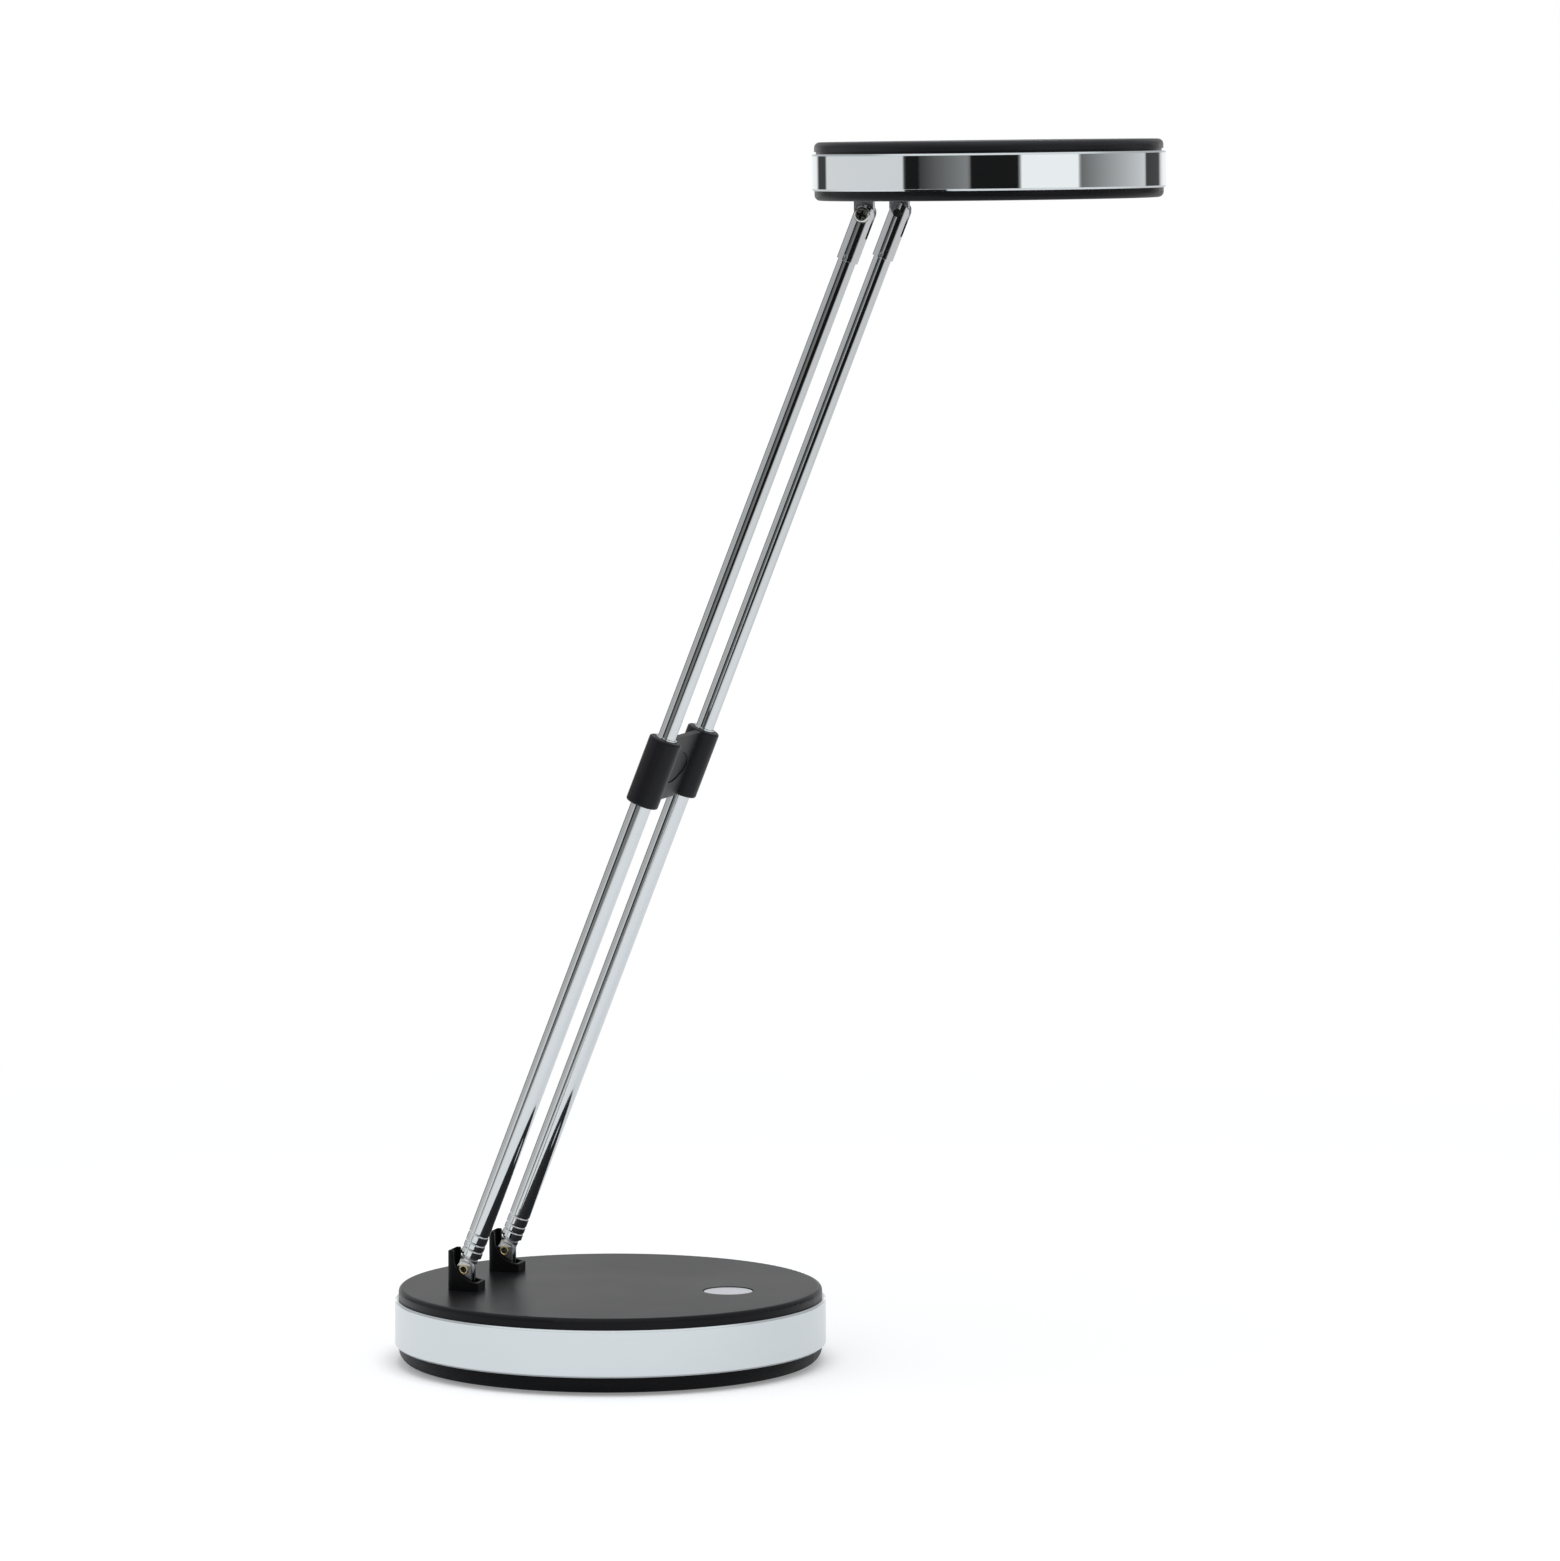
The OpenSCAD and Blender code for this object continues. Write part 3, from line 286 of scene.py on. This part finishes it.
def cross_screw(name, colour, axis, face, head_r):
    """Plated head of a pivot screw: a worn face, with a painted highlight round its rounded edge and
    painted shade in its cross slot.

    Its axis runs along Y. The face is how far its outer end lies from the lamp's middle.
    """
    material = new_material(name)
    shader = Shader(material)
    x, y, z = shader.axes(shader.point())
    reach = ((x - axis[0]) ** 2.0 + (z - axis[1]) ** 2.0) ** 0.5
    depth = face - y.size()
    # Painted shade: in the cross slot the head is coloured near-black and not metallic.
    painted_recess_shade = depth.step(0.15 * MM, 0.4 * MM) * (1 - reach.step(0.64 * head_r, 0.7 * head_r))
    # Painted highlight: round the head's rounded edge it is coloured near-white.
    painted_rim_highlight = reach.step(0.72 * head_r, 0.84 * head_r)
    worn = shader.noise(1500.0, 3.0, 0.6)
    tone = shader.mix(worn.step(0.4, 0.65), scaled(colour, 0.6), scaled(colour, 2.2))
    tone = shader.mix(painted_rim_highlight, tone, (0.86, 0.85, 0.8))
    shader.surface(
        Base_Color=shader.mix(painted_recess_shade, tone, (0.006, 0.005, 0.004)),
        Metallic=1 - painted_recess_shade,
        Roughness=0.22 + worn * 0.12 + painted_recess_shade * 0.3,
        Normal=shader.rounded(0.1 * MM),
    )
    return material


def pressed_lug(name, colour, painted_highlight_from):
    """Plated lug of the base: a painted highlight across its top, over a darker, brushed shank."""
    material = new_material(name)
    shader = Shader(material)
    _, _, z = shader.axes(shader.point())
    # Painted highlight: above the given height the lug is coloured near-white and less metallic.
    painted_crown_highlight = z.step(painted_highlight_from - 0.25 * MM, painted_highlight_from + 0.25 * MM)
    grain = shader.noise(1.0, 4.0, 0.65, shader.stretched((2200.0, 2200.0, 120.0)))
    tone = shader.mix(grain, scaled(colour, 0.35), scaled(colour, 0.75))
    shader.surface(
        Base_Color=shader.mix(painted_crown_highlight, tone, (0.95, 0.95, 0.94)),
        Metallic=1 - painted_crown_highlight * 0.75,
        Roughness=0.3 + (grain - 0.5) * 0.2,
        Normal=shader.bump(grain, 0.01 * MM, shader.rounded(0.2 * MM)),
    )
    return material


def pivot_foot(name, colour, axis):
    """Foot of the arm: satin plating, with a painted highlight on its end round the pivot's axis."""
    material = new_material(name)
    shader = Shader(material)
    x, _, z = shader.axes(shader.point())
    reach = ((x - axis[0]) ** 2.0 + (z - axis[1]) ** 2.0) ** 0.5
    # Painted highlight: near the pivot's axis the foot is coloured near-white and less metallic.
    painted_end_highlight = 1 - reach.step(3.5 * MM, 3.9 * MM)
    cloud = shader.noise(35.0, 3.0)
    shader.surface(
        Base_Color=shader.mix(painted_end_highlight, scaled(colour, 0.98), (0.96, 0.96, 0.95)),
        Metallic=1 - painted_end_highlight * 0.75,
        Roughness=0.24 + cloud * 0.1,
        Normal=shader.rounded(0.15 * MM),
    )
    return material


def foam_rubber(name, colour):
    """Soft closed-cell rubber, matt with small pits."""
    material = new_material(name)
    shader = Shader(material)
    cells = shader.node("ShaderNodeTexVoronoi", values={"Vector": shader.point(), "Scale": 1400.0})
    pits = Number(shader, cells.outputs["Distance"]).step(0.0, 0.5)
    cloud = shader.noise(60.0, 3.0)
    tone = shader.mix(cloud, scaled(colour, 0.8), scaled(colour, 1.5))
    shader.surface(
        Base_Color=tone,
        Roughness=0.85 + (cloud - 0.5) * 0.1,
        Normal=shader.bump(pits, 0.05 * MM),
    )
    return material


def opal_plastic(name, colour):
    """Frosted opal plastic: a soft milky body under a finely etched face."""
    material = new_material(name)
    shader = Shader(material)
    cloud = shader.noise(40.0, 2.0)
    etched = shader.noise(2600.0, 3.0, 0.6)
    tone = shader.mix(cloud, scaled(colour, 0.97), colour)
    shader.surface(
        Base_Color=tone,
        Roughness=0.5 + (etched - 0.5) * 0.12,
        Subsurface_Weight=0.35,
        Subsurface_Radius=(0.004, 0.004, 0.0036),
        Normal=shader.bump(etched, 0.01 * MM),
    )
    return material


def circuit_board(name, colour):
    """Lacquered board with slightly raised tracks under the lacquer."""
    material = new_material(name)
    shader = Shader(material)
    x, y, _ = shader.axes(shader.point())
    tracks = (x * 900.0 + shader.noise(90.0, 0.0) * 9.0).sine().step(0.55, 0.75)
    tracks = tracks.most((y * 1100.0).sine().step(0.8, 0.92))
    tone = shader.mix(tracks, colour, scaled(colour, 1.7))
    shader.surface(
        Base_Color=tone,
        Roughness=0.3 + tracks * 0.06,
        Coat_Weight=0.4,
        Normal=shader.bump(tracks, 0.03 * MM),
    )
    return material


FINISHES = {
    # Painted shade: the base covers take darker copies of their plastic's colour, at 0.5 and 0.4 times.
    "satin_black": lambda n, c: moulded_plastic(n, scaled(c, 0.5), 0.33, shine=0.15),
    "under_black": lambda n, c: moulded_plastic(n, scaled(c, 0.4), 0.36, shine=0.09),
    "bracket_black": lambda n, c: moulded_plastic(n, c, 0.42, grain=0.22 * MM, shine=0.12),
    "clamp_black": lambda n, c: moulded_plastic(n, c, 0.38, grain=0.3 * MM, shine=0.25),
    "chrome_band": lambda n, c: plated(n, c, 0.025, haze=0.015),
    "chrome_tube": lambda n, c: plated(n, c, 0.05, haze=0.03),
    "chrome_fitting": lambda n, c: plated(n, c, 0.07, haze=0.05),
    "screw_steel": lambda n, c: worked_metal(n, c, 0.3, (400.0, 400.0, 400.0)),
    "ballast_steel": lambda n, c: worked_metal(n, c, 0.5, (40.0, 900.0, 40.0), 0.6),
    "brass": lambda n, c: worked_metal(n, c, 0.22, (500.0, 500.0, 500.0), 0.4),
    "silver_button": silver_paint,
    "pad_rubber": foam_rubber,
    "board_green": circuit_board,
    "switch_black": lambda n, c: moulded_plastic(n, c, 0.5),
    "plunger_white": lambda n, c: moulded_plastic(n, c, 0.45),
    "inlet_black": lambda n, c: moulded_plastic(n, c, 0.28),
    "diffuser_opal": opal_plastic,
    "reflector_white": lambda n, c: moulded_plastic(n, c, 0.3),
    "led_board_white": lambda n, c: moulded_plastic(n, c, 0.35),
    "led_yellow": opal_plastic,
    "spreader_alu": lambda n, c: worked_metal(n, c, 0.4, (900.0, 40.0, 40.0), 0.15),
}


def finish_material(slot):
    """The material of a slot, made once."""
    made = bpy.data.materials.get("finish_" + slot)
    if made is None:
        made = FINISHES[slot]("finish_" + slot, SLOT_COLOURS[slot])
    return made


def dress(*nodes):
    """Gives CAD nodes the finish that the record names for them."""
    for name in nodes:
        slots = frame["nodes"][name].material_slots
        slots[0].material = finish_material(NODE_SLOTS[name])


def give(material, *nodes):
    """Gives CAD nodes a material made for them alone."""
    for name in nodes:
        frame["nodes"][name].material_slots[0].material = material


def both_sides(prefix):
    return prefix + "left", prefix + "right"


def pivot_of(node):
    """The box of a piece that is turned about a pivot along Y, and the pivot's X and Z."""
    low, high = (Vector(corner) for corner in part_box(node))
    middle = (low + high) / 2
    return low, high, (middle.x, middle.z)


# ---- Settings ----


class LampStudio(PropertyGroup):
    """Sizes and levels of the studio."""

    floor_radius: FloatProperty(
        name="Floor radius", description="Radius of the round floor", default=3.5, unit="LENGTH"
    )
    floor_colour: FloatVectorProperty(
        name="Floor colour",
        description="Colour of the floor",
        subtype="COLOR",
        default=(0.93, 0.94, 0.95),
    )
    key_power: FloatProperty(
        name="Overhead light", description="Power of the overhead light in watts", default=22.0
    )
    sky_level: FloatProperty(
        name="Room light", description="Strength of the room's even light", default=0.62
    )


# ---- Operators ----


class LampStep(Operator):
    """Base of the lamp's operators."""

    bl_options = {"REGISTER", "UNDO"}


class LAMP_OT_base(LampStep):
    """Dress the base: covers, band, ballast, pad, screws and electrics"""

    bl_idname = "lamp.base"
    bl_label = "Base"

    def execute(self, context):
        dress("base_cover_top", "base_ring", "base_cover_bottom", "ballast_plate", "anti_slip_pad")
        dress("base_screws", "control_board", "board_screws", "tact_switch", "dc_jack", "jack_pin")
        dress("button_cap", "switch_plunger")
        return {"FINISHED"}


# Where the painted shade in the rivets' holes ends, and how far above the pivot the painted highlight on
# the lugs begins.
RIVET_HOLE_R = 0.85 * MM
LUG_HIGHLIGHT_RISE = 1.3 * MM


class LAMP_OT_pivots(LampStep):
    """Dress the brackets, lugs and rivets on the base"""

    bl_idname = "lamp.pivots"
    bl_label = "Base pivots"

    def execute(self, context):
        _, _, axis = pivot_of("base_rivet_left")
        # Painted highlight: the rivets take a lighter copy of the brass colour, at 1.3 times.
        pale = scaled(SLOT_COLOURS["brass"], 1.3)
        brass = rivet_brass("rivet_brass", pale, axis, RIVET_HOLE_R)
        lug = pressed_lug("pressed_lug", SLOT_COLOURS["plated_steel"], axis[1] + LUG_HIGHLIGHT_RISE)
        foot = pivot_foot("satin_fitting", SLOT_COLOURS["chrome_fitting"], axis)
        dress(*both_sides("bracket_"))
        give(brass, *both_sides("base_rivet_"))
        give(lug, *both_sides("base_lug_"))
        give(foot, *both_sides("arm_foot_"))
        dress("base_lug_screws")
        return {"FINISHED"}


class LAMP_OT_arm(LampStep):
    """Dress the tubes, the clamp and the sleeves of the arm"""

    bl_idname = "lamp.arm"
    bl_label = "Arm"

    def execute(self, context):
        for side in ("left", "right"):
            dress("lower_tube_" + side, "upper_tube_" + side, "slide_plug_" + side)
            dress("head_sleeve_" + side)
        dress("clamp_bridge")
        low, high, axis = pivot_of("head_pivot_screw_left")
        face, head_r = -low.y, (high.x - low.x) / 2
        screw = cross_screw("cross_screw", SLOT_COLOURS["pivot_screw"], axis, face, head_r)
        give(screw, *both_sides("head_pivot_screw_"))
        return {"FINISHED"}


class LAMP_OT_head(LampStep):
    """Dress the head: covers, band, lugs and the light"""

    bl_idname = "lamp.head"
    bl_label = "Head"

    def execute(self, context):
        dress("head_ring", "head_screws", "head_lug_screws")
        # Painted light: the head lugs take a lighter copy of the plated steel colour, at 1.7 times.
        lug = worked_metal("head_lug_steel", scaled(SLOT_COLOURS["plated_steel"], 1.7), 0.36)
        give(lug, *both_sides("head_lug_"))
        dress("diffuser", "reflector", "led_board", "leds", "heat_spreader")
        # Painted light: the head covers take lighter copies of their plastic's colour, at 1.3 and 1.1
        # times, where the base covers take darker ones.
        for node, painted_light_lift, shine in (("head_cover_top", 1.3, 0.2), ("head_cover_bottom", 1.1, 0.15)):
            colour = scaled(SLOT_COLOURS[NODE_SLOTS[node]], painted_light_lift)
            give(moulded_plastic("finish_" + node, colour, 0.37, shine=shine), node)
        return {"FINISHED"}


CAMERA_PLACE = (0.73455, -2.32985, 0.41144)
CAMERA_TURN = math.radians(16.207)
CAMERA_DIP = math.radians(5.193)
CAMERA_LENS = 175.07
TOWARD = (math.sin(CAMERA_TURN), -math.cos(CAMERA_TURN), 0.0)
RIGHT = (math.cos(CAMERA_TURN), math.sin(CAMERA_TURN), 0.0)

# What stands round the lamp, as seen in its bright parts: the angle from the
# camera's side, positive to the camera's right, and the brightness there.
ROOM = (
    (-180, 1.15), (-150, 1.0), (-145, 0.06), (-133, 0.06), (-131, 0.80), (-59, 0.78),
    (-57.5, 0.012), (-47.5, 0.012), (-46.5, 0.055), (-14.5, 0.27), (-13, 0.012), (18, 0.012),
    (19, 1.06), (58, 1.06), (59.5, 0.17), (119, 0.72), (121, 0.06), (141, 0.08), (147, 1.0), (180, 1.15),
)
# The sines of the elevations between which the strips grow darker, give way to an even
# grey, and that grey gives way to the overhead patch.
STRIPS_DIM = (0.01, 0.16)
STRIPS_END = (0.14, 0.3)
PATCH_START = (0.72, 0.86)

# The paper's share of plain white, its glow to the camera, and its glow in metal
# beside the lamp and further off.
PAPER = 0.86
PAPER_GLOW = 0.25
PAPER_IN_METAL = 0.04
PAPER_FAR = 0.68
# Distances in metres: where the lit paper turns plain, and where it ends in metal.
PAPER_PLAIN = (0.35, 0.8)
PAPER_END = (0.52, 0.78)
# The floor lies this far under the pad, and rays shorter than the second pass through it.
FLOOR_DROP = 0.05 * MM
PAD_RAY = 0.4 * MM

SOFTBOX_PLACE = (0.25, -0.45, 2.1)
SOFTBOX_SIZE = 1.6


class LAMP_OT_stage(LampStep):
    """Set up the floor, the room, the overhead light and the camera"""

    bl_idname = "lamp.stage"
    bl_label = "Stage"

    def execute(self, context):
        studio = context.scene.lamp_studio
        self.floor(studio)
        self.room(context.scene, studio)
        self.lights(studio)
        self.camera(context.scene)
        context.scene.view_settings.view_transform = "Standard"
        return {"FINISHED"}

    def floor(self, studio):
        bpy.ops.object.select_all(action="DESELECT")
        bpy.ops.mesh.primitive_circle_add(
            vertices=128, radius=studio.floor_radius, fill_type="NGON", location=(0, 0, -FLOOR_DROP)
        )
        floor = bpy.context.object
        floor.name = "floor"
        material = new_material("pale_floor")
        shader = Shader(material)
        x, y, _ = shader.axes(shader.point())
        radius = (x * x + y * y) ** 0.5
        nearer = x * TOWARD[0] + y * TOWARD[1]
        across = x * RIGHT[0] + y * RIGHT[1]
        seen, mirrored = self.rays(shader)
        pale = rgba(scaled(studio.floor_colour, PAPER))
        paper = shader.node("ShaderNodeBsdfDiffuse", values={"Color": pale})
        glow = shader.node(
            "ShaderNodeEmission", values={"Strength": seen * PAPER_GLOW + mirrored * PAPER_IN_METAL}
        )
        both = shader.node("ShaderNodeAddShader", values={0: paper.outputs[0], 1: glow.outputs[0]})
        # In metal the paper ends short of the camera, at a black front and a grey left part.
        front = nearer.step(*PAPER_END)
        grey = 1 - (across + nearer * 0.16).step(-0.04, 0.04)
        level = (1 - front) * PAPER_FAR + front * (grey * 0.2 + 0.008)
        far = shader.node("ShaderNodeEmission", values={"Strength": seen + mirrored * level})
        shares = {0: radius.step(*PAPER_PLAIN), 1: both.outputs[0], 2: far.outputs[0]}
        joined = shader.node("ShaderNodeMixShader", values=shares)
        # From below, and for rays that start at the pad, the floor is clear, so that the
        # underside of the base can be looked at in the room's light.
        below = Number(shader, shader.node("ShaderNodeNewGeometry").outputs["Backfacing"])
        length = Number(shader, shader.node("ShaderNodeLightPath").outputs["Ray Length"])
        open_share = below.most(1 - length.above(PAD_RAY))
        clear = shader.node("ShaderNodeBsdfTransparent")
        shares = {0: open_share, 1: joined.outputs[0], 2: clear.outputs[0]}
        sided = shader.node("ShaderNodeMixShader", values=shares)
        shader.output(sided.outputs[0])
        floor.data.materials.append(material)

    def rays(self, shader):
        """Whether a ray comes from the camera, and whether it is mirrored or passes through."""
        path = shader.node("ShaderNodeLightPath")
        kinds = ("Is Glossy Ray", "Is Transmission Ray")
        glossy, through = (Number(shader, path.outputs[kind]) for kind in kinds)
        return Number(shader, path.outputs["Is Camera Ray"]), glossy.most(through)

    def room(self, scene, studio):
        world = bpy.data.worlds.new("room")
        scene.world = world
        shader = Shader(world)
        direction = shader.node("ShaderNodeTexCoord").outputs["Generated"]
        parts = []
        for axis in (RIGHT, TOWARD):
            values = {0: direction, 1: axis}
            made = shader.node("ShaderNodeVectorMath", {"operation": "DOT_PRODUCT"}, values)
            parts.append(Number(shader, made.outputs["Value"]))
        turn = parts[0].angle(parts[1])
        place = turn / (2 * math.pi) + 0.5
        stops = [((angle + 180) / 360, (level,) * 3) for angle, level in ROOM]
        ramp = shader.node("ShaderNodeValToRGB", {"stops": stops}, {"Fac": place})
        _, _, up = shader.axes(direction)
        strips = shader.mix(up.step(*STRIPS_DIM) * 0.4, ramp.outputs["Color"], (0.0, 0.0, 0.0))
        strips = shader.mix(up.step(*STRIPS_END), strips, (0.5, 0.51, 0.52))
        mirrored = shader.mix(up.step(*PATCH_START), strips, (0.85, 0.87, 0.88))
        seen, glossy = self.rays(shader)
        plain = shader.mix(seen, scaled((0.98, 1.0, 1.02), studio.sky_level), (1, 1, 1))
        colour = shader.mix(glossy, plain, mirrored)
        light = shader.node("ShaderNodeBackground", values={"Color": colour, "Strength": 1.0})
        shader.output(light.outputs[0], "ShaderNodeOutputWorld")

    def lights(self, studio):
        data = bpy.data.lights.new("overhead_softbox", "AREA")
        data.shape = "DISK"
        data.size = SOFTBOX_SIZE
        data.energy = studio.key_power
        lamp = bpy.data.objects.new("overhead_softbox", data)
        lamp.location = SOFTBOX_PLACE
        lamp.rotation_euler = Vector(SOFTBOX_PLACE).to_track_quat("Z", "Y").to_euler()
        lamp.visible_glossy = False
        bpy.context.scene.collection.objects.link(lamp)

    def camera(self, scene):
        data = bpy.data.cameras.new("camera")
        data.sensor_width = 36.0
        data.lens = CAMERA_LENS
        data.clip_start, data.clip_end = 0.05, 50.0
        camera = bpy.data.objects.new("camera", data)
        camera.location = CAMERA_PLACE
        camera.rotation_euler = (math.pi / 2 - CAMERA_DIP, 0.0, CAMERA_TURN)
        scene.collection.objects.link(camera)
        scene.camera = camera


class LAMP_PT_panel(Panel):
    """Lists the lamp's steps"""

    bl_label = "Telescopic desk lamp"
    bl_idname = "LAMP_PT_panel"
    bl_space_type = "VIEW_3D"
    bl_region_type = "UI"
    bl_category = "Lamp"

    def draw(self, context):
        for step in STEPS:
            self.layout.operator(step.bl_idname)
        for name in ("floor_radius", "floor_colour", "key_power", "sky_level"):
            self.layout.prop(context.scene.lamp_studio, name)


STEPS = (LAMP_OT_base, LAMP_OT_pivots, LAMP_OT_arm, LAMP_OT_head, LAMP_OT_stage)
CLASSES = (LampStudio, *STEPS, LAMP_PT_panel)


def register():
    for cls in CLASSES:
        bpy.utils.register_class(cls)
    bpy.types.Scene.lamp_studio = PointerProperty(type=LampStudio)


def unregister():
    del bpy.types.Scene.lamp_studio
    for cls in reversed(CLASSES):
        bpy.utils.unregister_class(cls)


def main():
    register()
    for step in STEPS:
        group, name = step.bl_idname.split(".")
        getattr(getattr(bpy.ops, group), name)()


if __name__ == "__main__":
    main()
